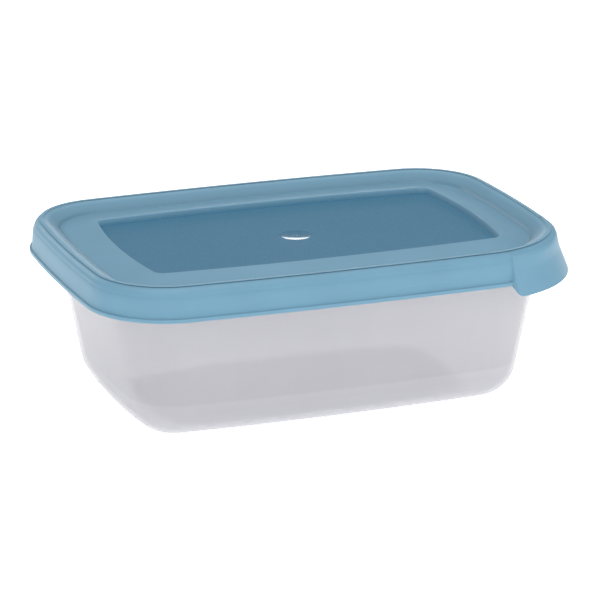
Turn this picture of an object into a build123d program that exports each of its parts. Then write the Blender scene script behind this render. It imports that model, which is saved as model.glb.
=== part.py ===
from build123d import *
import os

os.makedirs("parts", exist_ok=True)

# Lid outline at the foot of the skirt; every inset below is measured in from it
HALF_LENGTH = 100.0
HALF_WIDTH = 68.0
LONG_BOW = 2.8
SHORT_BOW = 3.3
CORNER_RADIUS = 32.0
TAB_CORNER_RADIUS = 44.0

# Lid heights above the table
SKIRT_FOOT = 54.5
BEAD_TOP = 56.0
CREST = 67.7
SLOPE_FOOT = 64.6
CREASE = 63.4
PANEL_LIP = 65.9
PANEL_TOP = 63.6

# Lid insets
BEAD_INSET = 0.75
SHOULDER_INSET = 1.75
CREST_INSET = 6.0
SLOPE_INSET = 11.1
CREASE_INSET = 12.0
PANEL_INSET = 25.4
PANEL_WALL_LEAN = 1.1
PANEL_CORNER_RADIUS = 4.0
LONG_SIDE_EXTRA = 1.6

# Lid edge radii
BEAD_RADIUS = 0.4
SHOULDER_RADIUS = 3.7
CREST_RADIUS = 1.0
UNDER_RADIUS = 1.2
LIP_RADIUS = 0.5

# Lid walls and the bead inside the skirt that snaps under the rim
LID_WALL = 1.2
PLUG_WALL = 0.9
SNAP_HEIGHT = 58.6
SNAP_HALF = 1.0
SNAP_PROUD = 0.6

# Round gate mark on the lid
GATE_X = -1.3
GATE_Y = -1.3
GATE_RADIUS = 6.4
GATE_DEPTH = 0.4
GATE_NUB_RADIUS = 0.7
GATE_NUB_HEIGHT = 0.25

# Pull tab around the front right corner
TAB_TOP = 65.8
TAB_KNEE = 60.5
TAB_FOOT = 50.6
TAB_TOP_INSET = 1.5
TAB_KNEE_INSET = 0.55
TAB_FLARE = 3.4
TAB_WALL = 1.1
TAB_START_X = 64.0
TAB_END_Y = -24.0
TAB_CORNER = 3.2
TAB_REACH = 120.0

# Tub wall
FLOOR_INSET = 20.7
FLOOR_CORNER_RADIUS = 15.0
FLOOR_RADIUS = 14.0
WALL_TOP = 54.5
WALL_TOP_INSET = 10.0
WALL_TOP_CORNER_RADIUS = 28.0
NECK = 60.6
NECK_INSET = 7.8
NECK_CORNER_RADIUS = 24.0
TUB_WALL = 1.2

# Tub rim, an upside-down channel
RIM_TOP = 65.4
RIM_FOOT = 59.9
RIM_INSET = 3.0
RIM_CREST_INSET = 5.2
MOUTH_HEIGHT = 63.8
RIM_RADIUS = 1.5

# Underside of the base
BASE_PANEL_INSET = 36.0
BASE_PANEL_RADIUS = 9.0
BASE_PANEL_DEPTH = 0.25
BASE_GATE_RADIUS = 2.4
BASE_GATE_DROP = 0.15

TOWARD_TAB = Axis((0, 0, 0), (1, -1, 0))


def ring(height, inset, radius, tab_radius=None, long_side_extra=0.0):
    """One closed outline with bowed sides and round corners, flat at a height."""
    half_x = HALF_LENGTH - inset
    half_y = HALF_WIDTH - inset - long_side_extra
    corner_x = half_x - SHORT_BOW
    corner_y = half_y - LONG_BOW
    with BuildSketch(Plane.XY.offset(height)) as outline:
        with BuildLine():
            ThreePointArc((-corner_x, -corner_y), (0, -half_y), (corner_x, -corner_y))
            ThreePointArc((corner_x, -corner_y), (half_x, 0), (corner_x, corner_y))
            ThreePointArc((corner_x, corner_y), (0, half_y), (-corner_x, corner_y))
            ThreePointArc((-corner_x, corner_y), (-half_x, 0), (-corner_x, -corner_y))
        make_face()
        fillet(outline.vertices().sort_by(TOWARD_TAB)[:-1], radius)
        fillet(outline.vertices().sort_by(TOWARD_TAB)[-1], tab_radius or radius)
    return outline.sketch


def lid_ring(height, inset):
    """An outline parallel to the foot of the lid's skirt."""
    return ring(height, inset, CORNER_RADIUS - inset, TAB_CORNER_RADIUS - inset)


def panel_ring(height, inset):
    """An outline parallel to the lip of the lid's sunken panel."""
    return ring(
        height, PANEL_INSET + inset, PANEL_CORNER_RADIUS, long_side_extra=LONG_SIDE_EXTRA
    )


def wall_ring(height, inset):
    """The tub wall's outline, on the draft between its floor and its neck."""
    share = height / WALL_TOP
    wall_inset = FLOOR_INSET + (WALL_TOP_INSET - FLOOR_INSET) * share
    radius = FLOOR_CORNER_RADIUS + (WALL_TOP_CORNER_RADIUS - FLOOR_CORNER_RADIUS) * share
    return ring(height, wall_inset + inset, radius - inset)


def neck_ring(height, inset):
    """The tub's outline where the wall widens under the rim."""
    return ring(height, NECK_INSET + inset, NECK_CORNER_RADIUS - inset)


def base_panel(height):
    """The outline of the raised middle of the base."""
    return ring(height, BASE_PANEL_INSET, BASE_PANEL_RADIUS)


def edges_at(part, height, inset):
    """Edges lying flat at a height, no farther out than the outline at an inset."""
    level = part.edges().filter_by_position(Axis.Z, height, height)
    return level.filter_by(lambda edge: edge.bounding_box().max.X < HALF_LENGTH - inset)


# Space under the lid
with BuildPart() as lid_space:
    skirt_inside = BEAD_INSET + LID_WALL
    loft(
        [
            lid_ring(SKIRT_FOOT, skirt_inside),
            lid_ring(SNAP_HEIGHT - SNAP_HALF, skirt_inside),
            lid_ring(SNAP_HEIGHT, skirt_inside + SNAP_PROUD),
            lid_ring(SNAP_HEIGHT + SNAP_HALF, skirt_inside),
            lid_ring(CREST - LID_WALL, SHOULDER_INSET + LID_WALL),
        ],
        ruled=True,
    )
    fillet(lid_space.faces().sort_by(Axis.Z)[-1].edges(), UNDER_RADIUS)
    plug_foot = lid_ring(CREASE - LID_WALL, CREASE_INSET - PLUG_WALL)
    loft(
        [
            plug_foot,
            lid_ring(SLOPE_FOOT - LID_WALL, SLOPE_INSET - PLUG_WALL),
            lid_ring(CREST - LID_WALL, CREST_INSET - PLUG_WALL),
        ],
        ruled=True,
        mode=Mode.SUBTRACT,
    )
    loft([plug_foot, panel_ring(PANEL_LIP - LID_WALL, 0)], ruled=True)
    loft(
        [
            panel_ring(PANEL_TOP - LID_WALL, PANEL_WALL_LEAN - PLUG_WALL),
            panel_ring(PANEL_LIP - LID_WALL, -PLUG_WALL),
        ],
        ruled=True,
        mode=Mode.SUBTRACT,
    )

# Pull tab, cut from a flared band around the whole skirt
with BuildPart() as tab_band:
    loft(
        [
            lid_ring(TAB_FOOT, -TAB_FLARE),
            lid_ring(TAB_KNEE, TAB_KNEE_INSET),
            lid_ring(TAB_TOP, TAB_TOP_INSET),
        ],
        ruled=True,
    )
    loft(
        [
            lid_ring(TAB_FOOT, TAB_WALL - TAB_FLARE),
            lid_ring(TAB_KNEE, TAB_WALL + TAB_KNEE_INSET),
            lid_ring(TAB_TOP, TAB_WALL + TAB_TOP_INSET),
        ],
        ruled=True,
        mode=Mode.SUBTRACT,
    )
    with BuildSketch(Plane.XZ) as tab_front:
        with BuildLine():
            Polyline(
                (TAB_START_X, TAB_FOOT),
                (TAB_REACH, TAB_FOOT),
                (TAB_REACH, TAB_TOP),
                (TAB_START_X, TAB_TOP),
                close=True,
            )
        make_face()
        fillet(tab_front.vertices().sort_by_distance((TAB_START_X, TAB_FOOT))[0], TAB_CORNER)
    extrude(amount=TAB_REACH, mode=Mode.INTERSECT)
    with BuildSketch(Plane.YZ) as tab_side:
        with BuildLine():
            Polyline(
                (TAB_END_Y, TAB_FOOT),
                (-TAB_REACH, TAB_FOOT),
                (-TAB_REACH, TAB_TOP),
                (TAB_END_Y, TAB_TOP),
                close=True,
            )
        make_face()
        fillet(tab_side.vertices().sort_by_distance((TAB_END_Y, TAB_FOOT))[0], TAB_CORNER)
    extrude(amount=TAB_REACH, mode=Mode.INTERSECT)

# Lid
with BuildPart() as lid:
    extrude(lid_ring(SKIRT_FOOT, 0), amount=BEAD_TOP - SKIRT_FOOT)
    fillet(lid.faces().sort_by(Axis.Z)[0].edges(), BEAD_RADIUS)
    loft([lid_ring(BEAD_TOP, BEAD_INSET), lid_ring(CREST, SHOULDER_INSET)], ruled=True)
    fillet(lid.faces().sort_by(Axis.Z)[-1].edges(), SHOULDER_RADIUS)
    crease_ring = lid_ring(CREASE, CREASE_INSET)
    loft(
        [crease_ring, lid_ring(SLOPE_FOOT, SLOPE_INSET), lid_ring(CREST, CREST_INSET)],
        ruled=True,
        mode=Mode.SUBTRACT,
    )
    fillet(edges_at(lid, CREST, CREST_INSET - BEAD_RADIUS), CREST_RADIUS)
    loft([crease_ring, panel_ring(PANEL_LIP, 0)], ruled=True)
    loft(
        [panel_ring(PANEL_TOP, PANEL_WALL_LEAN), panel_ring(PANEL_LIP, 0)],
        ruled=True,
        mode=Mode.SUBTRACT,
    )
    fillet(edges_at(lid, PANEL_LIP, PANEL_INSET - LIP_RADIUS), LIP_RADIUS)
    add(lid_space.part, mode=Mode.SUBTRACT)
    add(tab_band.part)
    bowl_radius = (GATE_RADIUS**2 + GATE_DEPTH**2) / (2 * GATE_DEPTH)
    with Locations((GATE_X, GATE_Y, PANEL_TOP - GATE_DEPTH + bowl_radius)):
        Sphere(bowl_radius, mode=Mode.SUBTRACT)
    with BuildSketch(Plane.XY.offset(PANEL_TOP - GATE_DEPTH)):
        with Locations((GATE_X, GATE_Y)):
            Circle(GATE_NUB_RADIUS)
    extrude(amount=GATE_NUB_HEIGHT)
lid.part.label = "lid"
export_step(lid.part, "parts/lid.step")

# Inside of the tub
with BuildPart() as tub_space:
    loft([wall_ring(TUB_WALL, TUB_WALL), wall_ring(WALL_TOP, TUB_WALL)], ruled=True)
    fillet(tub_space.faces().sort_by(Axis.Z)[0].edges(), FLOOR_RADIUS - TUB_WALL)
    loft(
        [
            wall_ring(WALL_TOP, TUB_WALL),
            neck_ring(NECK, TUB_WALL),
            neck_ring(MOUTH_HEIGHT, TUB_WALL),
            lid_ring(RIM_TOP, RIM_CREST_INSET),
        ],
        ruled=True,
    )
    extrude(base_panel(TUB_WALL), amount=BASE_PANEL_DEPTH, mode=Mode.SUBTRACT)

# Tub
with BuildPart() as tub:
    extrude(lid_ring(RIM_FOOT, RIM_INSET), amount=RIM_TOP - RIM_FOOT)
    fillet(tub.faces().sort_by(Axis.Z)[-1].edges(), RIM_RADIUS)
    channel_foot = lid_ring(RIM_FOOT, RIM_INSET + TUB_WALL)
    extrude(channel_foot, amount=MOUTH_HEIGHT - TUB_WALL - RIM_FOOT, mode=Mode.SUBTRACT)
    loft(
        [
            wall_ring(0, 0),
            wall_ring(WALL_TOP, 0),
            neck_ring(NECK, 0),
            neck_ring(MOUTH_HEIGHT - TUB_WALL, 0),
        ],
        ruled=True,
    )
    fillet(tub.faces().sort_by(Axis.Z)[0].edges(), FLOOR_RADIUS)
    add(tub_space.part, mode=Mode.SUBTRACT)
    extrude(base_panel(0), amount=BASE_PANEL_DEPTH, mode=Mode.SUBTRACT)
    with BuildSketch(Plane.XY.offset(BASE_PANEL_DEPTH)):
        Circle(BASE_GATE_RADIUS)
    extrude(amount=-BASE_GATE_DROP)
tub.part.label = "tub"
export_step(tub.part, "parts/tub.step")
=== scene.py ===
"""A snap lid food container: a frosted tub under a blue lid with a corner pull tab."""

import logging
import math
from collections.abc import Sequence
from dataclasses import dataclass, field
from enum import Enum

import bmesh
import bpy
from mathutils import Matrix, Vector


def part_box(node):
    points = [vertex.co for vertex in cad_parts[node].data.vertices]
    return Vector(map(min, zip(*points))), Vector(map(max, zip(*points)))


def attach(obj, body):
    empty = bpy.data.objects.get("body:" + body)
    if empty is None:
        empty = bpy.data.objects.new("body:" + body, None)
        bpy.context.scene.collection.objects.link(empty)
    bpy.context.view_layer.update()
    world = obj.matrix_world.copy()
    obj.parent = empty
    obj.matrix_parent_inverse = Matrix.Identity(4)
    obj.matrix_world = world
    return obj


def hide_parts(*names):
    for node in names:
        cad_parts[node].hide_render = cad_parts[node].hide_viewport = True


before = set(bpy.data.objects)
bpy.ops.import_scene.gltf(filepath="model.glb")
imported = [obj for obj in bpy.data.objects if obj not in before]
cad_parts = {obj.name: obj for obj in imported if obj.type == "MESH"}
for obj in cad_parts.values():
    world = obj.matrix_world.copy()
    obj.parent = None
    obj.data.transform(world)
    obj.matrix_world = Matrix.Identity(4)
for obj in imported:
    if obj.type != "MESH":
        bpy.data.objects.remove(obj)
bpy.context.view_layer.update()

LOG = logging.getLogger("container")
MM = 0.001
Colour = tuple[float, float, float]
BLACK: Colour = (0.0, 0.0, 0.0)
WHITE: Colour = (1.0, 1.0, 1.0)
PLASTIC_IOR = 1.49

# Corner radii of the skirt's foot, in millimetres; the corner with the tab is rounder
SKIRT_CORNER = 32.0
SKIRT_TAB_CORNER = 44.0

# The two pieces' boxes in millimetres
LID_LOW, LID_HIGH = (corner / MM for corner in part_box("lid"))
TUB_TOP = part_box("tub")[1].z / MM

# Signs of x and y in the quarters, going round, and whether the outline runs back through each
QUARTERS = ((1, 1, False), (1, -1, True), (-1, -1, False), (-1, 1, True))

# Socket numbers on a Mix node that mixes colours
MIX_SHARE, MIX_FIRST, MIX_SECOND, MIX_RESULT = 0, 6, 7, 2


class Part(Enum):
    """The three runs of one quarter of an outline."""

    LONG_SIDE = 0
    CORNER = 1
    SHORT_SIDE = 2


class LidFinish(float, Enum):
    """What the finish attribute says on the lid."""

    SMOOTH = 0.0
    FAINT = 0.12
    FADING = 0.5
    TEXTURED = 1.0
    POLISHED = 2.0


class TubFinish(float, Enum):
    """What the finish attribute says on the tub: where a point lies, which sets how much it hides
    and its painted light and shade.
    """

    WALL = 0.0
    FOOT = 0.5
    BASE = 1.0


@dataclass(frozen=True)
class Column:
    """One place around an outline, the same on every ring of a piece.

    Attributes:
        side_x: 1 or -1, the side of the long axis it stands on.
        side_y: 1 or -1, the side of the short axis it stands on.
        part: The run of the quarter that it stands on.
        share: How far along that run it stands, from 0 to 1.
        on_tab: Whether it stands on the pull tab.
        tab_depth: Distance in from the nearer end of the tab, in millimetres.
    """

    side_x: int
    side_y: int
    part: Part
    share: float
    on_tab: bool = False
    tab_depth: float = 0.0

    @property
    def tab_quarter(self) -> bool:
        """Whether the column stands in the quarter that carries the pull tab."""
        return self.side_x > 0 > self.side_y


@dataclass(frozen=True)
class Quarter:
    """The arcs of one quarter of a bowed, round-cornered outline.

    Attributes:
        inset: Distance in from the foot of the lid's skirt, in millimetres.
        radius: Radius of the corner.
        long_extra: Further inset of the long sides alone.
    """

    inset: float
    radius: float
    long_extra: float = 0.0
    half_length: float = -LID_LOW.x
    half_width: float = LID_HIGH.y
    long_bow: float = 2.8
    short_bow: float = 3.3

    def arcs(self) -> tuple[tuple[Vector, float], tuple[Vector, float], tuple[Vector, float]]:
        """Centre and radius of the long side's, the corner's and the short side's arc."""
        half_x = self.half_length - self.inset
        half_y = self.half_width - self.inset - self.long_extra
        corner_x = half_x - self.short_bow
        corner_y = half_y - self.long_bow
        long_radius = (corner_x**2 + self.long_bow**2) / (2 * self.long_bow)
        short_radius = (corner_y**2 + self.short_bow**2) / (2 * self.short_bow)
        long_centre = Vector((0.0, half_y - long_radius))
        short_centre = Vector((half_x - short_radius, 0.0))
        reach_long = long_radius - self.radius
        reach_short = short_radius - self.radius
        between = short_centre - long_centre
        gap = between.length
        along = (reach_long**2 - reach_short**2 + gap**2) / (2 * gap)
        across = math.sqrt(reach_long**2 - along**2)
        direction = between / gap
        outward = Vector((direction.y, -direction.x))
        corner_centre = long_centre + direction * along + outward * across
        return (
            (long_centre, long_radius),
            (corner_centre, self.radius),
            (short_centre, short_radius),
        )

    def turns(self) -> tuple[float, float]:
        """Angles from +Y at which the corner's arc starts and ends."""
        (long_centre, _), (corner_centre, _), (short_centre, _) = self.arcs()
        first = corner_centre - long_centre
        last = corner_centre - short_centre
        return math.atan2(first.x, first.y), math.atan2(last.x, last.y)

    def at(self, part: Part, share: float) -> Vector:
        """The point at a share of one arc, in the quarter where x and y are positive."""
        first, last = self.turns()
        starts = (0.0, first, last, math.pi / 2)
        angle = starts[part.value] + (starts[part.value + 1] - starts[part.value]) * share
        centre, radius = self.arcs()[part.value]
        return centre + Vector((math.sin(angle), math.cos(angle))) * radius


@dataclass(frozen=True)
class Ring:
    """One closed loop of a shell.

    Attributes:
        height: Height above the table, in millimetres.
        soften: Width of the bevel that rounds the loop, or 0 for none.
        segments: Steps in that bevel.
        finish: Which finish the plastic has here, a LidFinish or a TubFinish.
        shade: How much painted shade darkens the loop, as at the bottom of a crease, from 0 to 1.
    """

    height: float
    soften: float = 0.0
    segments: int = 4
    finish: float = 0.0
    shade: float = 0.0

    def point(self, column: Column) -> Vector:
        """Where the loop passes a column, in millimetres."""
        raise NotImplementedError


@dataclass(frozen=True)
class OutlineRing(Ring):
    """A loop with bowed sides and round corners."""

    inset: float = 0.0
    radius: float = 0.0
    tab_radius: float = 0.0
    long_extra: float = 0.0

    def flat_point(self, column: Column, inset: float) -> Vector:
        """The loop's x and y at a column, for a given inset."""
        moved = inset - self.inset
        radius = (self.tab_radius if column.tab_quarter else self.radius) - moved
        place = Quarter(inset, radius, self.long_extra).at(column.part, column.share)
        return Vector((place.x * column.side_x, place.y * column.side_y))

    def point(self, column: Column) -> Vector:
        """Where the loop passes a column, in millimetres."""
        return self.flat_point(column, self.inset).to_3d() + Vector((0.0, 0.0, self.height))


@dataclass(frozen=True)
class RoundRing(Ring):
    """A circular loop.

    Attributes:
        across: Radius of the circle, in millimetres.
        centre: The circle's middle, seen from above.
        aim_inset: Inset of the outline that its points face.
    """

    across: float = 1.0
    centre: tuple[float, float] = (0.0, 0.0)
    aim_inset: float = 30.0

    def point(self, column: Column) -> Vector:
        """Where the loop passes a column, in millimetres."""
        aim = Quarter(self.aim_inset, self.across).at(column.part, column.share)
        centre = Vector(self.centre)
        toward = Vector((aim.x * column.side_x, aim.y * column.side_y)) - centre
        place = centre + toward.normalized() * self.across
        return Vector((place.x, place.y, self.height))


@dataclass(frozen=True)
class Tab:
    """The flared pull tab that the lid's skirt runs out into at one corner.

    Attributes:
        top: Height where the tab leaves the skirt.
        knee: Height where it starts to flare.
        foot: Height of its lower edge.
        top_inset: Inset of its face at the top.
        knee_inset: Inset of its face at the knee.
        flare: How far its foot stands out from the skirt's foot.
        wall: Its thickness.
        start_x: Where it begins on the long side.
        end_y: Where it ends on the short side.
        corner: Radius of its two lower corners.
    """

    top: float = 65.8
    knee: float = 60.5
    foot: float = LID_LOW.z
    top_inset: float = 1.5
    knee_inset: float = 0.55
    flare: float = 3.4
    wall: float = 1.1
    start_x: float = 64.0
    end_y: float = -24.0
    corner: float = 3.2

    def lower_edge(self, column: Column) -> float:
        """Height of the tab's edge at a column, rounded at both ends."""
        into = min(column.tab_depth, self.corner)
        return self.foot + self.corner - math.sqrt(self.corner**2 - (self.corner - into) ** 2)

    def height_at(self, column: Column, down: float) -> float:
        """Height on the face at a share of the way from the knee down to the edge."""
        return self.knee - (self.knee - self.lower_edge(column)) * down

    def inset_at(self, height: float) -> float:
        """How far in from the skirt's foot the tab's face stands at a height."""
        if height > self.knee:
            rise = (height - self.knee) / (self.top - self.knee)
            return self.knee_inset + (self.top_inset - self.knee_inset) * rise
        drop = (self.knee - height) / (self.knee - self.foot)
        return self.knee_inset - (self.knee_inset + self.flare) * drop


@dataclass(frozen=True)
class SkirtRing(OutlineRing):
    """A loop of the lid's skirt, which swings out and down where the tab is.

    Attributes:
        tab: The pull tab.
        down: How far from the tab's knee down to its edge the loop runs, from 0 to 1.
        behind: Distance in from the tab's face.
        tab_height: Height on the tab where it is set outright.
        tab_inset: Inset on the tab where it is set outright.
    """

    tab: Tab = field(default_factory=Tab)
    down: float = 0.0
    behind: float = 0.0
    tab_height: float | None = None
    tab_inset: float | None = None

    def point(self, column: Column) -> Vector:
        """Where the loop passes a column, in millimetres."""
        if not column.on_tab:
            return super().point(column)
        height = self.tab_height
        if height is None:
            height = self.tab.height_at(column, self.down)
        inset = self.tab_inset
        if inset is None:
            inset = self.tab.inset_at(height) + self.behind
        return self.flat_point(column, inset).to_3d() + Vector((0.0, 0.0, height))


@dataclass(frozen=True)
class Columns:
    """The places around the outline that every ring of a piece has in common.

    Attributes:
        long_steps: Columns along a quarter's long side.
        corner_steps: Columns around its corner.
        short_steps: Columns along its short side.
        tab: The pull tab, if the piece has one.
        edge_steps: Depths into the tab at which its ends get columns, in millimetres.
        search_steps: Halvings in the search for a column's place.
    """

    long_steps: int = 12
    corner_steps: int = 14
    short_steps: int = 8
    tab: Tab | None = None
    edge_steps: tuple[float, ...] = (0.0, 0.2, 0.7, 1.4, 2.2, 3.2)
    search_steps: int = 40

    def quarter(self, side_x: int, side_y: int) -> list[Column]:
        """Columns of one quarter, from the long side's middle to the short side's.

        Args:
            side_x: 1 or -1, the quarter's side of the long axis.
            side_y: 1 or -1, the quarter's side of the short axis.

        Returns:
            The columns in order, both ends included.
        """
        counts = (self.long_steps, self.corner_steps, self.short_steps)
        places = {
            (part, step / counts[part.value])
            for part in Part
            for step in range(counts[part.value])
        }
        places.add((Part.SHORT_SIDE, 1.0))
        if self.tab and side_x > 0 > side_y:
            places |= self.tab_places()
        ordered = sorted(places, key=lambda place: (place[0].value, place[1]))
        return [self.column(side_x, side_y, part, share) for part, share in ordered]

    def tab_places(self) -> set[tuple[Part, float]]:
        """Extra places where the tab's two ends need close columns."""
        outline = Quarter(0.0, SKIRT_TAB_CORNER)
        corner_end = outline.at(Part.CORNER, 1.0).y
        found = set()
        for step in self.edge_steps:
            start = self.tab.start_x + step
            part = Part.CORNER if outline.at(Part.CORNER, 0.0).x < start else Part.LONG_SIDE
            found.add((part, self.share_of(outline, part, 0, start)))
            end = step - self.tab.end_y
            part = Part.SHORT_SIDE if corner_end > end else Part.CORNER
            found.add((part, self.share_of(outline, part, 1, end)))
        return found

    def share_of(self, outline: Quarter, part: Part, axis: int, wanted: float) -> float:
        """The share of an arc at which a coordinate has a value.

        Args:
            outline: The outline that is searched.
            part: The arc that is searched.
            axis: 0 for x or 1 for y.
            wanted: The coordinate's value.

        Returns:
            The share, from 0 to 1.
        """
        low, high = 0.0, 1.0
        rising = outline.at(part, high)[axis] > outline.at(part, low)[axis]
        for _ in range(self.search_steps):
            middle = (low + high) / 2
            if (outline.at(part, middle)[axis] < wanted) == rising:
                low = middle
            else:
                high = middle
        return (low + high) / 2

    def column(self, side_x: int, side_y: int, part: Part, share: float) -> Column:
        """One column, with its depth into the tab if it stands on it."""
        plain = Column(side_x, side_y, part, share)
        if not (self.tab and plain.tab_quarter):
            return plain
        place = Quarter(0.0, SKIRT_TAB_CORNER).at(part, share)
        depth = min(place.x - self.tab.start_x, place.y + self.tab.end_y)
        on_tab = depth > self.edge_steps[1] / 2
        return Column(side_x, side_y, part, share, on_tab, max(depth, 0.0))

    def around(self) -> list[Column]:
        """All columns in order around the outline."""
        loop: list[Column] = []
        for side_x, side_y, backward in QUARTERS:
            run = self.quarter(side_x, side_y)
            if backward:
                run.reverse()
            loop += run[:-1]
        return loop


@dataclass
class Shell:
    """A closed wall drawn through a run of rings, capped at both ends.

    Attributes:
        name: Name of the finished piece.
        columns: Places around the outline.
        rings: The loops, from the middle of one face round to the middle of the other.
    """

    name: str
    columns: list[Column]
    rings: list[Ring]

    def build(self) -> bpy.types.Object:
        """Make the wall's object.

        Returns:
            The new object, with smooth faces and the attributes finish and shade, which holds
            painted shade.
        """
        mesh = bmesh.new()
        order = mesh.verts.layers.int.new("ring")
        finish = mesh.verts.layers.float.new("finish")
        shade = mesh.verts.layers.float.new("shade")
        bmesh.ops.create_circle(mesh, cap_ends=False, radius=1.0, segments=len(self.columns))
        loop, edges = list(mesh.verts), list(mesh.edges)
        for number, ring in enumerate(self.rings):
            if number:
                loop, edges = self.next_loop(mesh, loop, edges)
            for vertex, column in zip(loop, self.columns):
                vertex.co = ring.point(column) * MM
                vertex[order] = number
                vertex[finish] = ring.finish
                vertex[shade] = ring.shade
            if number in (0, len(self.rings) - 1):
                bmesh.ops.edgeloop_fill(mesh, edges=edges)
        bmesh.ops.recalc_face_normals(mesh, faces=mesh.faces)
        self.soften(mesh, order)
        return self.finish(mesh)

    @staticmethod
    def next_loop(
        mesh: bmesh.types.BMesh, loop: list[bmesh.types.BMVert], edges: list[bmesh.types.BMEdge]
    ) -> tuple[list[bmesh.types.BMVert], list[bmesh.types.BMEdge]]:
        """Extrude a loop of edges.

        Args:
            mesh: The mesh being built.
            loop: The last loop's vertices, in order.
            edges: The last loop's edges.

        Returns:
            The new loop's vertices in the same order, and its edges.
        """
        made = bmesh.ops.extrude_edge_only(mesh, edges=edges)["geom"]
        new = {item for item in made if isinstance(item, bmesh.types.BMVert)}
        ends = [[edge.other_vert(vertex) for edge in vertex.link_edges] for vertex in loop]
        follow = [next(end for end in found if end in new) for found in ends]
        lines = [item for item in made if isinstance(item, bmesh.types.BMEdge)]
        return follow, [line for line in lines if all(end in new for end in line.verts)]

    def soften(self, mesh: bmesh.types.BMesh, order: bmesh.types.BMLayerItem) -> None:
        """Bevel every ring that is rounded."""
        for number, ring in enumerate(self.rings):
            if ring.soften:
                lines = [
                    line
                    for line in mesh.edges
                    if all(end[order] == number for end in line.verts)
                ]
                bmesh.ops.bevel(
                    mesh,
                    geom=lines,
                    offset=ring.soften * MM,
                    offset_type="OFFSET",
                    segments=ring.segments,
                    profile=0.5,
                    affect="EDGES",
                    material=-1,
                )

    def finish(self, mesh: bmesh.types.BMesh) -> bpy.types.Object:
        """Turn the bmesh into an object with smooth, area-weighted normals."""
        data = bpy.data.meshes.new(self.name)
        mesh.to_mesh(data)
        mesh.free()
        data.shade_smooth()
        piece = bpy.data.objects.new(self.name, data)
        bpy.context.scene.collection.objects.link(piece)
        weighted = piece.modifiers.new("even shading", "WEIGHTED_NORMAL")
        weighted.keep_sharp = True
        return piece


@dataclass(frozen=True)
class Signal:
    """A number that varies over a surface; arithmetic on it adds Math nodes."""

    surface: "Surface"
    socket: bpy.types.NodeSocket

    def combine(
        self, operation: str, first: "Signal | float", second: "Signal | float"
    ) -> "Signal":
        """Add one Math node.

        Args:
            operation: The node's operation.
            first: Its first value.
            second: Its second value.

        Returns:
            The node's result.
        """
        node = self.surface.node("ShaderNodeMath", {"operation": operation}, {0: first, 1: second})
        return Signal(self.surface, node.outputs[0])

    def __add__(self, other: "Signal | float") -> "Signal":
        """The sum."""
        return self.combine("ADD", self, other)

    def __radd__(self, other: float) -> "Signal":
        """The sum, with the number first."""
        return self.combine("ADD", other, self)

    def __sub__(self, other: "Signal | float") -> "Signal":
        """The difference."""
        return self.combine("SUBTRACT", self, other)

    def __rsub__(self, other: float) -> "Signal":
        """The difference, with the number first."""
        return self.combine("SUBTRACT", other, self)

    def __mul__(self, other: "Signal | float") -> "Signal":
        """The product."""
        return self.combine("MULTIPLY", self, other)

    def __rmul__(self, other: float) -> "Signal":
        """The product, with the number first."""
        return self.combine("MULTIPLY", other, self)


Value = Signal | bpy.types.NodeSocket | float | Sequence[float]


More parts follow.
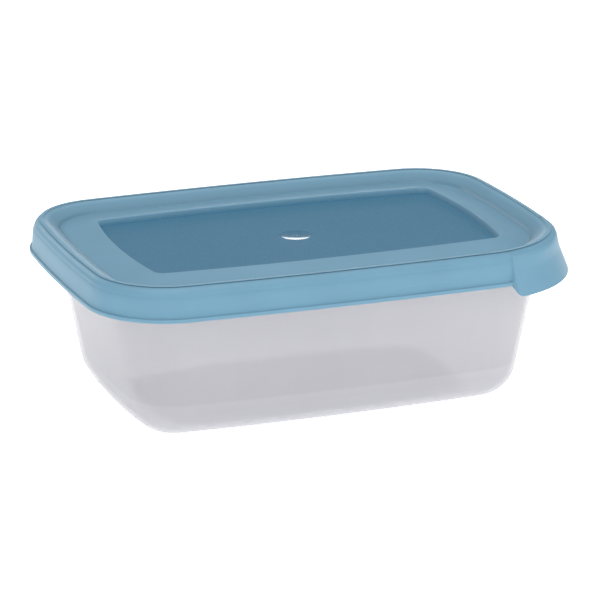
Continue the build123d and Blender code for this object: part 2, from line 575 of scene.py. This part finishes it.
class Surface:
    """The node tree of one material."""

    def __init__(self, name: str) -> None:
        """Start an empty material with an output and a Principled shader."""
        self.material = bpy.data.materials.new(name)
        self.material.use_nodes = True
        self.tree = self.material.node_tree
        self.tree.nodes.clear()
        self.shader = self.node("ShaderNodeBsdfPrincipled")
        self.node("ShaderNodeOutputMaterial", {}, {"Surface": self.shader.outputs["BSDF"]})

    def node(
        self,
        kind: str,
        settings: dict[str, object] | None = None,
        inputs: dict[str | int, Value] | None = None,
    ) -> bpy.types.Node:
        """Add a node.

        Args:
            kind: The node's type.
            settings: Properties that are set first, such as an operation or a ramp's stops.
            inputs: Values or links by socket name or number.

        Returns:
            The new node.
        """
        made = self.tree.nodes.new(kind)
        for key, value in (settings or {}).items():
            if key == "stops":
                self.set_stops(made.color_ramp, value)
            else:
                setattr(made, key, value)
        for key, value in (inputs or {}).items():
            self.feed(made.inputs[key], value)
        return made

    @staticmethod
    def set_stops(ramp: bpy.types.ColorRamp, stops: Sequence[tuple[float, float]]) -> None:
        """Give a ramp grey stops, each a place and a level."""
        while len(ramp.elements) < len(stops):
            ramp.elements.new(1.0)
        for element, (place, level) in zip(ramp.elements, stops):
            element.position = place
            element.color = (level, level, level, 1.0)

    def feed(self, socket: bpy.types.NodeSocket, value: Value) -> None:
        """Set a socket to a value, or link it to a signal or another socket."""
        if isinstance(value, Signal):
            self.tree.links.new(value.socket, socket)
        elif isinstance(value, bpy.types.NodeSocket):
            self.tree.links.new(value, socket)
        elif isinstance(value, Sequence) and socket.type == "RGBA":
            socket.default_value = (*value, 1.0)
        else:
            socket.default_value = value

    def place(self) -> bpy.types.NodeSocket:
        """Object coordinates."""
        return self.node("ShaderNodeTexCoord").outputs["Object"]

    def noise(
        self, size: float, detail: float = 2.0, stretch: Sequence[float] = (1.0, 1.0, 1.0)
    ) -> Signal:
        """Soft noise from 0 to 1.

        Args:
            size: Width of its patches, in millimetres.
            detail: How much finer noise lies on it.
            stretch: How much longer the patches are along each axis.

        Returns:
            The noise.
        """
        squeeze = tuple(1 / (size * MM * axis) for axis in stretch)
        mapping = self.node("ShaderNodeMapping", {}, {"Vector": self.place(), "Scale": squeeze})
        settings = {"noise_dimensions": "3D"}
        inputs = {"Vector": mapping.outputs[0], "Scale": 1.0, "Detail": detail, "Roughness": 0.5}
        return Signal(self, self.node("ShaderNodeTexNoise", settings, inputs).outputs[0])

    def attribute(self, name: str) -> Signal:
        """A number stored on the mesh's points."""
        made = self.node("ShaderNodeAttribute", {"attribute_name": name})
        return Signal(self, made.outputs["Fac"])

    def ramp(self, signal: Signal, *stops: tuple[float, float]) -> Signal:
        """Remap a signal through a ramp's stops."""
        made = self.node("ShaderNodeValToRGB", {"stops": stops}, {"Fac": signal})
        return Signal(self, made.outputs[0])

    def blend(self, first: Value, second: Value, share: Signal) -> bpy.types.NodeSocket:
        """Mix two colours by a share from 0 to 1."""
        made = self.node("ShaderNodeMix", {"data_type": "RGBA"})
        self.feed(made.inputs[MIX_SHARE], share)
        self.feed(made.inputs[MIX_FIRST], first)
        self.feed(made.inputs[MIX_SECOND], second)
        return made.outputs[MIX_RESULT]

    def bump(self, height: Signal, depth: float) -> bpy.types.NodeSocket:
        """A normal bent by a height.

        Args:
            height: The height, from 0 to 1.
            depth: What a height of 1 stands for, in millimetres.

        Returns:
            The normal.
        """
        inputs = {"Height": height, "Distance": depth * MM, "Strength": 1.0}
        return self.node("ShaderNodeBump", {}, inputs).outputs["Normal"]

    def set(self, **values: Value) -> None:
        """Set or feed the Principled shader's sockets, named with underscores."""
        for key, value in values.items():
            self.feed(self.shader.inputs[key.replace("_", " ")], value)


def tint(colour: Colour, factor: float) -> Colour:
    """A colour made lighter or darker by a factor."""
    return tuple(channel * factor for channel in colour)


@dataclass(frozen=True)
class LidPlastic:
    """Satin blue plastic, with a spark-textured panel, a polished gate mark and painted shade in
    its creases.

    Attributes:
        rim: Colour of the smooth plastic.
        panel: Colour where the mould texture is strongest: the textured plastic's own blue,
            painted darker as the shade of the dark inside that shows through the thin panel.
        painted_groove_shade: Lightness of the painted shade at the bottom of a crease, as a share
            of the rim's.
        gloss: Roughness of the smooth plastic.
        texture_gloss: Roughness added by the mould texture.
        polish_gloss: Roughness taken away where the mould is polished.
        cloud_gloss: How far the roughness wanders over the clouds.
        spark_size: Grain of the mould texture, in millimetres.
        spark_detail: How much finer grain lies on it.
        cloud_size: Width of the slow changes in colour and gloss.
        flow_size: Width of the flow marks.
        flow_stretch: How drawn out they are along each axis.
        smooth_tints: Lightness of the darkest and the lightest smooth plastic.
        speck_tints: Lightness of the texture's pits and tops.
        cloud_share: Part of the colour's change that follows the clouds, not the flow marks.
        patch_stops: Drift at which the smooth plastic is darkest and lightest.
        speck_stops: Grain height at which the texture is darkest and lightest.
        faint: Texture left on the smooth plastic.
        texture_end: Share of the way to polished where the texture is gone.
        polish_full: Share of the way to polished where the polish is full.
        wave: Height of the clouds' bump beside the texture's.
        depth: Height of the texture's bump, in millimetres.
    """

    rim: Colour = (0.150, 0.325, 0.452)
    panel: Colour = (0.032, 0.156, 0.264)
    painted_groove_shade: float = 0.79
    gloss: float = 0.42
    texture_gloss: float = 0.18
    polish_gloss: float = 0.30
    cloud_gloss: float = 0.04
    spark_size: float = 0.55
    spark_detail: float = 3.0
    cloud_size: float = 24.0
    flow_size: float = 9.0
    flow_stretch: tuple[float, float, float] = (6.0, 1.0, 1.0)
    smooth_tints: tuple[float, float] = (0.97, 1.03)
    speck_tints: tuple[float, float] = (0.88, 1.14)
    cloud_share: float = 0.7
    patch_stops: tuple[float, float] = (0.35, 0.65)
    speck_stops: tuple[float, float] = (0.34, 0.66)
    faint: float = 0.05
    texture_end: float = 0.56
    polish_full: float = 0.6
    wave: float = 0.2
    depth: float = 0.06

    def material(self) -> bpy.types.Material:
        """Build the material.

        Returns:
            The finished material.
        """
        made = Surface("lid_plastic")
        finish = made.attribute("finish") * (1 / LidFinish.POLISHED)
        textured = LidFinish.TEXTURED / LidFinish.POLISHED
        panel = made.ramp(finish, (0.0, 0.0), (textured, 1.0))
        texture = made.ramp(finish, (0.0, self.faint), (textured, 1.0), (self.texture_end, 0.0))
        polish = made.ramp(finish, (textured, 0.0), (self.polish_full, 1.0))
        spark = made.noise(self.spark_size, self.spark_detail)
        cloud = made.noise(self.cloud_size)
        flow = made.noise(self.flow_size, stretch=self.flow_stretch)
        drift = cloud * self.cloud_share + flow * (1 - self.cloud_share)
        patch = made.ramp(drift, *zip(self.patch_stops, (0.0, 1.0)))
        speck = made.ramp(spark, *zip(self.speck_stops, (0.0, 1.0)))
        smooth = made.blend(*(tint(self.rim, share) for share in self.smooth_tints), patch)
        # The panel's colour: its own textured blue, painted darker as the shade of the dark inside
        # below the thin panel.
        rough = made.blend(*(tint(self.panel, share) for share in self.speck_tints), speck)
        lit = made.blend(smooth, rough, panel)
        gloss = self.gloss + texture * self.texture_gloss - polish * self.polish_gloss
        made.set(
            # Painted shade: the shade attribute darkens the colour in the crease and down the
            # rim's inner slope.
            Base_Color=made.blend(lit, tint(self.rim, self.painted_groove_shade), made.attribute("shade")),
            Roughness=gloss + (cloud - 0.5) * self.cloud_gloss,
            Normal=made.bump(spark * texture + cloud * self.wave, self.depth),
            IOR=PLASTIC_IOR,
        )
        return made.material


@dataclass(frozen=True)
class TubPlastic:
    """Frosted, see-through plastic: clearest on the wall, densest in the base, with painted light
    on the rounded foot and painted shade on the base.

    Attributes:
        colour: Colour of the wall.
        covers: How much one face hides of what is behind it, on the wall, the rounded foot
            and the base.
        painted_light_and_shade: Lightness of those three, as shares of the colour: painted light
            that lightens the foot and painted shade that darkens the base, as the shade in and
            under the tub.
        gloss: Roughness.
        frost_gloss: How far the roughness wanders over the frosting.
        haze_size: Width of the slow changes in lightness and cover, in millimetres.
        ripple_size: Width of the wall's ripples.
        ripple_stretch: How drawn out they are along each axis.
        frost_size: Grain of the frosting.
        haze_light: How far the lightness wanders over the haze.
        headroom: The most that shade and haze together can lighten the colour.
        speckle: How far the cover wanders over the haze and over the frosting.
        ripple_wave: Height of the ripples' bump, as a share of the depth.
        frost_wave: Height of the frosting's bump, as a share of the depth.
        depth: Height of the bump, in millimetres.
    """

    colour: Colour = (0.636, 0.624, 0.661)
    covers: tuple[float, float, float] = (0.45, 0.46, 0.64)
    painted_light_and_shade: tuple[float, float, float] = (1.0, 1.06, 0.76)
    gloss: float = 0.30
    frost_gloss: float = 0.08
    haze_size: float = 38.0
    ripple_size: float = 7.0
    ripple_stretch: tuple[float, float, float] = (1.0, 1.0, 3.0)
    frost_size: float = 0.5
    haze_light: float = 0.03
    headroom: float = 1.1
    speckle: float = 0.03
    ripple_wave: float = 0.5
    frost_wave: float = 0.1
    depth: float = 0.05

    def material(self) -> bpy.types.Material:
        """Build the material.

        Returns:
            The finished material.
        """
        made = Surface("tub_plastic")
        finish = made.attribute("finish")
        haze = made.noise(self.haze_size)
        ripple = made.noise(self.ripple_size, stretch=self.ripple_stretch)
        frost = made.noise(self.frost_size)
        cover = made.ramp(finish, *zip(TubFinish, self.covers))
        # Painted light and shade: the foot is lightened and the base darkened, as the shade in and
        # under the tub.
        shade = made.ramp(finish, *zip(TubFinish, self.painted_light_and_shade))
        light = shade * (1 - self.haze_light / 2 + haze * self.haze_light)
        lightest = tint(self.colour, self.headroom)
        made.set(
            Base_Color=made.blend(BLACK, lightest, light * (1 / self.headroom)),
            Roughness=self.gloss + (frost - 0.5) * self.frost_gloss,
            Alpha=cover + (haze - 0.5) * self.speckle + (frost - 0.5) * self.speckle,
            Normal=made.bump(ripple * self.ripple_wave + frost * self.frost_wave, self.depth),
            IOR=PLASTIC_IOR,
        )
        return made.material


@dataclass(frozen=True)
class Lid:
    """The blue lid: skirt, rim, sloping band, sunken panel and pull tab, in one moulding.

    Heights are above the table and insets are in from the skirt's foot, in millimetres. A
    field ending in soft is the width of the bevel that rounds an edge.

    Attributes:
        ledge: How sharply the tab's top stands out of the shoulder.
        band_start: Distance from the crease at which the painted shade of the crease has faded.
        half_up: Height on the panel's wall where the texture is fading.
        panel_edge: Width of the border that is drawn around the panel's floor.
        tab_over_knee: Height above the knee at which the tab gets a further loop.
        tab_at_bead: How far down the tab the bead's two loops pass, from 0 to 1.
        tab_fold: Step by which the skirt's inside closes behind the tab.
        gate_edges: Distances beyond the gate mark where the texture starts again.
        nub_shares: Where the nub's top has loops, as shares of its radius.
        nub_foot: Radius of the nub's foot, as a share of its own.
        bowl_start: Radius where the bowl's curve starts, as a share of the nub's.
        under_middle: Radius of the last loop, at the middle of the underside.
    """

    name: str = "lid_shell"
    body: str = "lid"
    slot: str = "lid_plastic"
    wall: float = 1.2
    plug_wall: float = 0.9
    crest: float = LID_HIGH.z
    crest_inset: float = 6.0
    shoulder_inset: float = 1.75
    shoulder_radius: float = 3.7
    shoulder_steps: int = 10
    crest_soft: float = 2.2
    crest_steps: int = 8
    ledge: float = 0.45
    slope_foot: float = 64.6
    slope_inset: float = 11.1
    slope_soft: float = 0.4
    crease: float = 63.4
    crease_inset: float = 12.0
    crease_soft: float = 0.5
    # Painted shade in the crease and at the band's start, from 0 to 1
    crease_shade: float = 0.9
    band_start: float = 1.4
    band_start_rise: float = 0.24
    band_start_shade: float = 0.1
    lip: float = 65.9
    lip_soft: float = 0.5
    panel: float = 63.6
    panel_inset: float = 25.4
    panel_lean: float = 1.1
    panel_corner: float = 4.0
    panel_edge: float = 3.0
    half_up: float = 1.1
    long_extra: float = 1.6
    bead_top: float = 56.0
    bead_inset: float = 0.75
    bead_soft: float = 0.38
    bead_ledge_soft: float = 0.12
    skirt_foot: float = 54.5
    snap: float = 58.6
    snap_half: float = 1.0
    snap_proud: float = 0.6
    snap_soft: float = 0.25
    under_soft: float = 0.4
    under_crest_soft: float = 0.3
    roof_soft: float = 1.2
    under_middle: float = 3.0
    tab_over_knee: float = 3.0
    tab_knee_soft: float = 1.2
    tab_at_bead: tuple[float, float] = (0.36, 0.40)
    tab_fold: float = 0.6
    gate: tuple[float, float] = (-1.3, -1.3)
    gate_radius: float = 6.4
    gate_depth: float = 0.4
    gate_steps: int = 12
    gate_edges: tuple[float, float] = (0.1, 0.5)
    nub_radius: float = 0.7
    nub_height: float = 0.25
    nub_drop: float = 0.08
    nub_shares: tuple[float, float] = (0.4, 0.8)
    nub_foot: float = 1.15
    nub_foot_rise: float = 0.02
    bowl_start: float = 1.5

    def loop(self, height: float, inset: float, **options: float) -> OutlineRing:
        """A loop parallel to the skirt's foot."""
        return OutlineRing(height, **options, inset=inset, **self.corners(inset))

    def corners(self, inset: float) -> dict[str, float]:
        """Corner radii of a loop at an inset."""
        return {"radius": SKIRT_CORNER - inset, "tab_radius": SKIRT_TAB_CORNER - inset}

    def skirt_loop(self, height: float, inset: float, **options: float) -> SkirtRing:
        """A loop that follows the pull tab."""
        return SkirtRing(height, inset=inset, **self.corners(inset), **options)

    def panel_loop(self, height: float, lean: float, **options: float) -> OutlineRing:
        """A loop parallel to the panel's lip."""
        return OutlineRing(
            height,
            **options,
            inset=self.panel_inset + lean,
            radius=self.panel_corner,
            tab_radius=self.panel_corner,
            long_extra=self.long_extra,
        )

    def gate_rings(self) -> list[Ring]:
        """The round gate mark: a shallow bowl with a nub at its middle."""
        floor = self.panel - self.gate_depth
        nub_top = floor + self.nub_height
        polish = {"centre": self.gate, "finish": LidFinish.POLISHED}
        rings = [
            RoundRing(nub_top, across=self.nub_radius * share, **polish)
            for share in self.nub_shares
        ]
        nub_foot = self.nub_radius * self.nub_foot
        rings.append(RoundRing(nub_top - self.nub_drop, across=self.nub_radius, **polish))
        rings.append(RoundRing(floor + self.nub_foot_rise, across=nub_foot, **polish))
        first = self.nub_radius * self.bowl_start / self.gate_radius
        for step in range(self.gate_steps + 1):
            share = first + (1 - first) * step / self.gate_steps
            height = floor + self.gate_depth * share**2
            rings.append(RoundRing(height, across=self.gate_radius * share, **polish))
        texture = {"centre": self.gate, "finish": LidFinish.TEXTURED}
        for beyond in self.gate_edges:
            rings.append(RoundRing(self.panel, across=self.gate_radius + beyond, **texture))
        return rings

    def top_rings(self) -> list[Ring]:
        """From the panel out over the band, the crease and the rim to the shoulder."""
        textured = {"finish": LidFinish.TEXTURED}
        faint = {"finish": LidFinish.FAINT}
        fading = {"finish": LidFinish.FADING}
        crease, inset = self.crease, self.crease_inset
        # Painted shade: the crease and the foot of the rim's slope are darkened, fading out at the
        # band's start.
        band_start = {**faint, "shade": self.band_start_shade}
        painted_groove_shade = {**faint, "shade": self.crease_shade, "soften": self.crease_soft}
        return [
            self.panel_loop(self.panel, self.panel_lean + self.panel_edge, **textured),
            self.panel_loop(self.panel, self.panel_lean, soften=self.lip_soft, **textured),
            self.panel_loop(self.panel + self.half_up, self.panel_lean / 2, **fading),
            self.panel_loop(self.lip, 0.0, soften=self.lip_soft, **faint),
            self.loop(crease + self.band_start_rise, inset + self.band_start, **band_start),
            self.loop(crease, inset, **painted_groove_shade),
            self.loop(self.slope_foot, self.slope_inset, soften=self.slope_soft, shade=1.0),
            self.loop(
                self.crest, self.crest_inset, soften=self.crest_soft, segments=self.crest_steps
            ),
            *self.shoulder_rings(),
        ]

    def shoulder_rings(self) -> list[Ring]:
        """Round the shoulder, with the pull tab's top standing out of its lower half."""
        tab = Tab()
        middle_inset = self.shoulder_inset + self.shoulder_radius
        middle_height = self.crest - self.shoulder_radius
        rings: list[Ring] = []
        for step in range(self.shoulder_steps + 1):
            turn = math.pi / 2 * step / self.shoulder_steps
            height = middle_height + self.shoulder_radius * math.cos(turn)
            inset = middle_inset - self.shoulder_radius * math.sin(turn)
            if height > tab.top + self.ledge:
                rings.append(self.loop(height, inset))
            else:
                under = max(tab.top - height, 0.0)
                round_off = self.ledge * math.exp(-under / self.ledge)
                face = tab.inset_at(min(height, tab.top)) + round_off
                rings.append(
                    self.skirt_loop(height, inset, tab_height=height, tab_inset=min(face, inset))
                )
        return rings

    def skirt_inset(self, height: float) -> float:
        """Inset of the skirt's outer face at a height above the bead."""
        rise = (height - self.bead_top) / (self.crest - self.bead_top)
        return self.bead_inset + (self.shoulder_inset - self.bead_inset) * rise

    def skirt_rings(self) -> list[Ring]:
        """Down the skirt and the tab's face, round the foot and up inside."""
        tab = Tab()
        foot = self.skirt_foot
        inside = self.bead_inset + self.wall
        upper, knee = tab.knee + self.tab_over_knee, tab.knee
        over_bead, under_bead = self.tab_at_bead
        ledge = {"soften": self.bead_ledge_soft, "segments": 2}
        face = [
            self.skirt_loop(upper, self.skirt_inset(upper), tab_height=upper),
            self.skirt_loop(
                knee, self.skirt_inset(knee), tab_height=knee, soften=self.tab_knee_soft
            ),
            self.skirt_loop(self.bead_top, self.bead_inset, down=over_bead),
            self.skirt_loop(self.bead_top, 0.0, down=under_bead, **ledge),
            self.skirt_loop(foot, 0.0, down=1.0, soften=self.bead_soft),
        ]
        behind = {"behind": tab.wall, "soften": self.under_crest_soft}
        band_inside = tab.inset_at(foot) + tab.wall
        fold = self.tab_fold
        under = [
            self.skirt_loop(foot, inside, down=1.0, **behind),
            self.skirt_loop(foot + fold, inside, tab_height=foot, tab_inset=band_inside),
            self.skirt_loop(foot + fold * 2, inside, tab_height=foot, tab_inset=inside),
        ]
        return [*face, *under]

    def under_rings(self) -> list[Ring]:
        """From the snap bead up inside the skirt and across the underside."""
        inside = self.bead_inset + self.wall
        roof = self.crest - self.wall
        plug = self.plug_wall
        snap = {"soften": self.snap_soft, "segments": 3}
        crest = {"soften": self.under_crest_soft}
        edge = {"soften": self.under_soft}
        return [
            self.loop(self.snap - self.snap_half, inside),
            self.loop(self.snap, inside + self.snap_proud, **snap),
            self.loop(self.snap + self.snap_half, inside),
            self.loop(roof, self.shoulder_inset + self.wall, soften=self.roof_soft),
            self.loop(roof, self.crest_inset - plug, **crest),
            self.loop(self.slope_foot - self.wall, self.slope_inset - plug, **crest),
            self.loop(self.crease - self.wall, self.crease_inset - plug, **edge),
            self.panel_loop(self.lip - self.wall, -plug, **edge),
            self.panel_loop(self.panel - self.wall, self.panel_lean - plug, **edge),
            RoundRing(self.panel - self.wall, across=self.under_middle),
        ]

    def build(self) -> bpy.types.Object:
        """Make, dress and attach the lid.

        Returns:
            The finished piece.
        """
        columns = Columns(tab=Tab()).around()
        rings = self.gate_rings() + self.top_rings() + self.skirt_rings() + self.under_rings()
        piece = Shell(self.name, columns, rings).build()
        piece.data.materials.append(LidPlastic().material())
        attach(piece, self.body)
        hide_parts("lid")
        return piece


@dataclass(frozen=True)
class Tub:
    """The frosted tub: wall, floor, neck and the rim's upside-down channel.

    Heights are above the table and insets are in from the foot of the lid's skirt,
    in millimetres. A field ending in soft is the width of the bevel that rounds an edge.

    Attributes:
        fillet_steps: Steps that round the floor's edge, inside and outside.
        foot_over: Height above the rounded foot at which its finish ends.
        wall_over: Height above the rounded foot at which the wall's finish starts.
        base_wall: How far the raised middle's wall leans, inside and outside.
        base_border: Width over which the base's finish fades into the foot's.
        base_middle: Radius of the first loop, at the middle of the floor.
        gate_middle: Radius of the last loop, at the middle of the gate mark.
    """

    name: str = "tub_shell"
    body: str = "tub"
    slot: str = "tub_plastic"
    wall: float = 1.2
    floor_inset: float = 20.7
    floor_corner: float = 15.0
    floor_radius: float = 14.0
    wall_top: float = 54.5
    wall_top_inset: float = 10.0
    wall_top_corner: float = 28.0
    neck: float = 60.6
    neck_inset: float = 7.8
    neck_corner: float = 24.0
    wall_soft: float = 0.5
    rim_top: float = TUB_TOP
    rim_foot: float = 59.9
    rim_inset: float = 3.0
    rim_crest_inset: float = 5.2
    rim_soft: float = 1.4
    rim_foot_soft: float = 0.2
    mouth: float = 63.8
    mouth_soft: float = 0.4
    fillet_steps: tuple[int, int] = (10, 12)
    foot_over: float = 0.4
    wall_over: float = 1.6
    base_inset: float = 36.0
    base_corner: float = 9.0
    base_depth: float = 0.25
    base_wall: tuple[float, float] = (0.15, 0.1)
    base_border: float = 2.0
    base_middle: float = 3.0
    gate_radius: float = 2.4
    gate_drop: float = 0.15
    gate_wall: float = 0.1
    gate_middle: float = 0.8

    @staticmethod
    def even_loop(height: float, inset: float, corner: float, **options: float) -> OutlineRing:
        """A loop whose four corners are alike."""
        return OutlineRing(height, **options, inset=inset, radius=corner, tab_radius=corner)

    def wall_loop(self, height: float, inward: float, **options: float) -> OutlineRing:
        """A loop on the wall's draft, from the floor to the foot of the neck."""
        share = height / self.wall_top
        inset = self.floor_inset + (self.wall_top_inset - self.floor_inset) * share + inward
        corner = self.floor_corner + (self.wall_top_corner - self.floor_corner) * share - inward
        return self.even_loop(height, inset, corner, **options)

    def neck_loop(self, height: float, inward: float, **options: float) -> OutlineRing:
        """A loop of the neck under the rim."""
        corner = self.neck_corner - inward
        return self.even_loop(height, self.neck_inset + inward, corner, **options)

    @staticmethod
    def rim_loop(height: float, inset: float, **options: float) -> OutlineRing:
        """A loop of the rim, which is parallel to the lid's skirt."""
        corners = {"radius": SKIRT_CORNER - inset, "tab_radius": SKIRT_TAB_CORNER - inset}
        return OutlineRing(height, **options, inset=inset, **corners)

    def fillet_width(self, radius: float) -> float:
        """Width of the bevel that rounds the floor's edge to a radius."""
        draft = math.atan2(self.floor_inset - self.wall_top_inset, self.wall_top)
        return radius * math.tan((math.pi / 2 - draft) / 2)

    def inner_rings(self) -> list[Ring]:
        """From the middle of the inner floor up the wall to the rim's crest."""
        wall = self.wall
        raised = wall + self.base_depth
        fillet = self.fillet_width(self.floor_radius - wall)
        base, foot = {"finish": TubFinish.BASE}, {"finish": TubFinish.FOOT}
        inset, corner, border = self.base_inset, self.base_corner, self.base_border
        soft = {"soften": self.wall_soft}
        mouth = {"soften": self.mouth_soft}
        return [
            RoundRing(raised, across=self.base_middle, aim_inset=inset, **base),
            self.even_loop(raised, inset + self.base_wall[0], corner, **base),
            self.even_loop(wall, inset, corner, **base),
            self.even_loop(wall, inset - border, corner + border, **foot),
            self.wall_loop(wall, wall, soften=fillet, segments=self.fillet_steps[0], **foot),
            self.wall_loop(self.floor_radius + self.foot_over, wall, **foot),
            self.wall_loop(self.floor_radius + self.wall_over, wall),
            self.wall_loop(self.wall_top, wall, **soft),
            self.neck_loop(self.neck, wall, **soft),
            self.neck_loop(self.mouth, wall, **mouth),
            self.rim_loop(self.rim_top, self.rim_crest_inset, **mouth),
        ]

    def rim_rings(self) -> list[Ring]:
        """Over the rim, round its foot and up inside its channel."""
        inside = self.rim_inset + self.wall
        foot = {"soften": self.rim_foot_soft, "segments": 2}
        return [
            self.rim_loop(self.rim_top, self.rim_inset, soften=self.rim_soft, segments=5),
            self.rim_loop(self.rim_foot, self.rim_inset, **foot),
            self.rim_loop(self.rim_foot, inside, **foot),
            self.rim_loop(self.mouth - self.wall, inside),
        ]

    def outer_rings(self) -> list[Ring]:
        """From the channel down the neck and the wall to the middle of the base."""
        floor = self.base_depth
        fillet = self.fillet_width(self.floor_radius)
        base, foot = {"finish": TubFinish.BASE}, {"finish": TubFinish.FOOT}
        inset, corner = self.base_inset, self.base_corner
        gate = {"aim_inset": inset, **base}
        soft = {"soften": self.wall_soft}
        return [
            self.neck_loop(self.mouth - self.wall, 0.0),
            self.neck_loop(self.neck, 0.0, **soft),
            self.wall_loop(self.wall_top, 0.0, **soft),
            self.wall_loop(self.floor_radius + self.wall_over, 0.0),
            self.wall_loop(self.floor_radius + self.foot_over, 0.0, **foot),
            self.wall_loop(0.0, 0.0, soften=fillet, segments=self.fillet_steps[1], **foot),
            self.even_loop(0.0, inset, corner, **foot),
            self.even_loop(floor, inset + self.base_wall[1], corner, **base),
            RoundRing(floor, across=self.gate_radius + self.gate_wall, **gate),
            RoundRing(floor - self.gate_drop, across=self.gate_radius, **gate),
            RoundRing(floor - self.gate_drop, across=self.gate_middle, **gate),
        ]

    def build(self) -> bpy.types.Object:
        """Make, dress and attach the tub.

        Returns:
            The finished piece.
        """
        rings = self.inner_rings() + self.rim_rings() + self.outer_rings()
        piece = Shell(self.name, Columns().around(), rings).build()
        piece.data.materials.append(TubPlastic().material())
        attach(piece, self.body)
        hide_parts("tub")
        return piece


@dataclass(frozen=True)
class SoftBox:
    """A soft rectangular light that faces the container.

    Attributes:
        name: Name of the light.
        azimuth: Degrees around the container; 0 is in front and 90 to the right.
        elevation: Degrees above the table.
        distance: Metres from the container.
        size: Width and height, in metres.
        power: Watts.
    """

    name: str
    azimuth: float
    elevation: float
    distance: float
    size: tuple[float, float]
    power: float

    def build(self) -> bpy.types.Object:
        """Add the light."""
        data = bpy.data.lights.new(self.name, "AREA")
        data.shape = "RECTANGLE"
        data.size, data.size_y = self.size
        data.energy = self.power
        light = bpy.data.objects.new(self.name, data)
        away = direction(self.azimuth, self.elevation)
        light.location = away * self.distance
        light.rotation_euler = away.to_track_quat("Z", "Y").to_euler()
        bpy.context.scene.collection.objects.link(light)
        return light


def direction(azimuth: float, elevation: float) -> Vector:
    """Unit vector away from the container; azimuth 0 is in front and 90 to the right."""
    around, above = math.radians(azimuth), math.radians(elevation)
    flat = math.cos(above)
    return Vector((math.sin(around) * flat, -math.cos(around) * flat, math.sin(above)))


@dataclass(frozen=True)
class Studio:
    """A white table in a white room, with soft boxes.

    Attributes:
        table_size: Width of the table, in metres.
        table_gap: How far its top lies under the container, in millimetres.
        table_colour: Its colour.
        table_glow: Light that it gives off itself, which keeps it white.
        room_light: Strength of the room's even light.
        boxes: The soft boxes.
    """

    table_size: float = 8.0
    table_gap: float = 0.3
    table_colour: Colour = (0.90, 0.90, 0.90)
    table_glow: float = 0.60
    room_light: float = 0.36
    boxes: tuple[SoftBox, ...] = (
        SoftBox("box_front", -22.0, 40.0, 2.2, (2.4, 1.6), 12.2),
        SoftBox("box_left", -100.0, 48.0, 2.2, (1.2, 1.2), 4.2),
        SoftBox("box_top", -10.0, 75.0, 2.0, (1.6, 1.6), 14.5),
        SoftBox("box_right", 55.0, 25.0, 2.4, (1.2, 1.6), 8.5),
        SoftBox("box_back", 159.0, 50.0, 2.6, (1.8, 0.8), 8.5),
        SoftBox("strip_left", -160.0, 20.0, 2.6, (0.7, 0.5), 5.0),
        SoftBox("strip_back", 159.0, 7.2, 2.6, (0.50, 0.42), 2.0),
    )

    def table(self) -> bpy.types.Object:
        """Add the plain pale table top."""
        mesh = bmesh.new()
        below = Matrix.Translation((0.0, 0.0, -self.table_gap * MM))
        bmesh.ops.create_grid(
            mesh, x_segments=1, y_segments=1, size=self.table_size / 2, matrix=below
        )
        data = bpy.data.meshes.new("table_top")
        mesh.to_mesh(data)
        mesh.free()
        top = bpy.data.objects.new("table_top", data)
        made = Surface("table_white")
        made.set(
            Base_Color=self.table_colour,
            Roughness=1.0,
            Specular_IOR_Level=0.0,
            Emission_Color=WHITE,
            Emission_Strength=self.table_glow,
        )
        data.materials.append(made.material)
        bpy.context.scene.collection.objects.link(top)
        return top

    def room(self) -> None:
        """Light the room evenly."""
        world = bpy.data.worlds.new("room")
        world.use_nodes = True
        backdrop = world.node_tree.nodes["Background"]
        backdrop.inputs["Color"].default_value = (*WHITE, 1.0)
        backdrop.inputs["Strength"].default_value = self.room_light
        bpy.context.scene.world = world

    def build(self) -> None:
        """Set up the table, the room and the lights."""
        self.table()
        self.room()
        for box in self.boxes:
            box.build()
        bpy.context.scene.view_settings.view_transform = "Standard"


@dataclass(frozen=True)
class Viewpoint:
    """The camera, aimed at about the middle of the container's height.

    Attributes:
        azimuth: Degrees around the container; 0 is in front and 90 to the right.
        elevation: Degrees above the table.
        roll: Degrees that the camera is turned about its own line of sight.
        distance: Metres from the aim.
        aim: The point that it faces, in metres.
        lens: Focal length, in millimetres.
        sensor: Width of the sensor, in millimetres.
        shift: Sideways and upward shift of the lens, as shares of the sensor's width.
    """

    azimuth: float = -20.92
    elevation: float = 17.73
    roll: float = 0.22
    distance: float = 1.301
    aim: tuple[float, float, float] = (0.0, 0.0, 0.035)
    lens: float = 195.6
    sensor: float = 36.0
    shift: tuple[float, float] = (0.00455, 0.00415)

    def build(self) -> bpy.types.Object:
        """Add the camera and make it the scene's own."""
        data = bpy.data.cameras.new("camera")
        data.lens = self.lens
        data.sensor_width = self.sensor
        data.shift_x, data.shift_y = self.shift
        data.dof.use_dof = False
        camera = bpy.data.objects.new("camera", data)
        away = direction(self.azimuth, self.elevation)
        level = away.to_track_quat("Z", "Y").to_matrix()
        turn = level @ Matrix.Rotation(math.radians(self.roll), 3, "Z")
        camera.matrix_world = Matrix.LocRotScale(
            Vector(self.aim) + away * self.distance, turn.to_quaternion(), None
        )
        bpy.context.scene.collection.objects.link(camera)
        bpy.context.scene.camera = camera
        return camera


def main() -> None:
    """Build the container and its studio, and report each piece."""
    logging.basicConfig(level=logging.INFO, format="%(message)s")
    for assembly in (Tub(), Lid()):
        piece = assembly.build()
        LOG.info("%s: %d faces, rides on %s", piece.name, len(piece.data.polygons), assembly.body)
    Studio().build()
    Viewpoint().build()
    bpy.context.view_layer.update()


if __name__ == "__main__":
    main()
